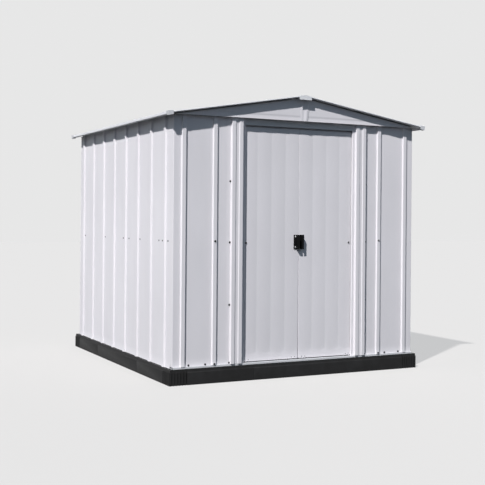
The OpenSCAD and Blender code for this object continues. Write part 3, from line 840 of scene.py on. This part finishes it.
# Handles: two bright screws in each plate
HANDLE_SCREW_Z = 33.5
HANDLE_SCREW_IN = 25.0
HANDLE_SCREW_SCALE = 1.05
handle_s = WALL_W / 2 - HANDLE_SCREW_IN
handle_face = DOOR_SETBACK - SEAT - HANDLE_T
handle_places = [(handle_s, handle_face, BRACE_MID + dz) for dz in (-HANDLE_SCREW_Z, HANDLE_SCREW_Z)]
for side, place in FRONT_SIDES:
    screw_row(f"{side}_handle_screws", f"door_{side}", bright_zinc, place, handle_places, OUT_FRONT,
              HANDLE_SCREW_SCALE)

# CAD nodes that show as they are, in their finish
for row in frame["record"]["subparts"]:
    node = frame["nodes"][row["node"]]
    for holder in node.material_slots:
        holder.material = materials[row["material_slot"]]

# Floor, light and camera
FLOOR_SIZE = 60.0
FLOOR_ROUGH = 0.9
FLOOR_BOUNCE = (0.018, 0.022, 0.022, 1)
FLOOR_GLOW = 0.53
FLOOR_SEEN = (0.2, 0.191, 0.184, 1)
KEY_WAY = (1.36, 1.0, -1.9)
KEY_ENERGY = 4.87
KEY_ANGLE = 1.6
FILL_WAY = (-1.0, -1.0, -0.08)
FILL_ENERGY = 1.9
FILL_ANGLE = 50.0
SKY_LOW = 0.03
SKY_MID = 0.38
SKY_TOP = 0.05
SKY_BAND = 0.48
SKY_TINT = (0.74, 0.97, 1.25)
BACKDROP = 0.8
CAMERA_AT = (-3.0098, -6.1328, 1.0004)
CAMERA_YAW = math.radians(26.58)
CAMERA_ROLL = math.radians(0.48)
CAMERA_LENS = 69.97
CAMERA_SHIFT = -0.0506


def add_seen(tree):
    """1 on rays that show the backdrop, straight or by reflection, and 0 on rays that carry its light."""
    path = tree.nodes.new("ShaderNodeLightPath")
    value = path.outputs["Is Camera Ray"]
    for other in ("Is Glossy Ray", "Is Transmission Ray"):
        most = tree.nodes.new("ShaderNodeMath")
        most.operation = "MAXIMUM"
        tree.links.new(value, most.inputs[0])
        tree.links.new(path.outputs[other], most.inputs[1])
        value = most.outputs["Value"]
    return value


def add_tint(tree, value, unseen, seen):
    tint = tree.nodes.new("ShaderNodeMix")
    tint.data_type = "RGBA"
    tint.inputs["A"].default_value = unseen
    tint.inputs["B"].default_value = seen
    tree.links.new(value, tint.inputs["Factor"])
    return tint.outputs["Result"]


def grey(value):
    return (value, value, value, 1)


def add_floor():
    half = FLOOR_SIZE / 2
    mesh = bpy.data.meshes.new("floor")
    corners = [(-half, -half, 0), (half, -half, 0), (half, half, 0), (-half, half, 0)]
    mesh.from_pydata(corners, [], [(0, 1, 2, 3)])
    floor = bpy.data.objects.new("floor", mesh)
    bpy.context.scene.collection.objects.link(floor)
    pale, tree, surface = new_material("pale_floor")
    surface.inputs["Roughness"].default_value = FLOOR_ROUGH
    surface.inputs["Specular IOR Level"].default_value = 0.0
    seen = add_seen(tree)
    tree.links.new(add_tint(tree, seen, FLOOR_BOUNCE, FLOOR_SEEN), surface.inputs["Base Color"])
    tree.links.new(add_tint(tree, seen, grey(0), grey(FLOOR_GLOW)), surface.inputs["Emission Color"])
    surface.inputs["Emission Strength"].default_value = 1.0
    mesh.materials.append(pale)


def add_sky():
    """A sky that is brightest half way up, behind a plain backdrop that only shows and never lights."""
    world = bpy.data.worlds.new("studio")
    bpy.context.scene.world = world
    world.use_nodes = True
    tree = world.node_tree
    way = tree.nodes.new("ShaderNodeTexCoord")
    height = tree.nodes.new("ShaderNodeSeparateXYZ")
    tree.links.new(way.outputs["Generated"], height.inputs["Vector"])
    low, mid, top = ([channel * level for channel in SKY_TINT] for level in (SKY_LOW, SKY_MID, SKY_TOP))
    sky = add_ramp(tree, height.outputs["Z"], low, top, start=0.0, end=1.0)
    sky.node.color_ramp.elements.new(SKY_BAND).color = (*mid, 1)
    studio = add_tint(tree, add_seen(tree), grey(0), grey(BACKDROP))
    tree.links.new(sky, studio.node.inputs["A"])
    tree.links.new(studio, tree.nodes["Background"].inputs["Color"])


def add_sun(name, way, energy, angle):
    data = bpy.data.lights.new(name, "SUN")
    data.energy = energy
    data.angle = math.radians(angle)
    lamp = bpy.data.objects.new(name, data)
    lamp.rotation_euler = Vector(way).to_track_quat("-Z", "Y").to_euler()
    bpy.context.scene.collection.objects.link(lamp)


def add_camera():
    forward = Vector((math.sin(CAMERA_YAW), math.cos(CAMERA_YAW), 0))
    right = Vector((math.cos(CAMERA_YAW), -math.sin(CAMERA_YAW), 0))
    up = Vector((0, 0, 1))
    axis_x = right * math.cos(CAMERA_ROLL) + up * math.sin(CAMERA_ROLL)
    axis_y = up * math.cos(CAMERA_ROLL) - right * math.sin(CAMERA_ROLL)
    data = bpy.data.cameras.new("camera")
    data.lens = CAMERA_LENS
    data.shift_y = CAMERA_SHIFT
    camera = bpy.data.objects.new("camera", data)
    camera.matrix_world = Matrix((
        (axis_x.x, axis_y.x, -forward.x, CAMERA_AT[0]),
        (axis_x.y, axis_y.y, -forward.y, CAMERA_AT[1]),
        (axis_x.z, axis_y.z, -forward.z, CAMERA_AT[2]),
        (0, 0, 0, 1),
    ))
    bpy.context.scene.collection.objects.link(camera)
    bpy.context.scene.camera = camera


add_floor()
add_sky()
add_sun("key", KEY_WAY, KEY_ENERGY, KEY_ANGLE)
add_sun("rear_fill", FILL_WAY, FILL_ENERGY, FILL_ANGLE)
add_camera()
bpy.context.scene.view_settings.view_transform = "Standard"
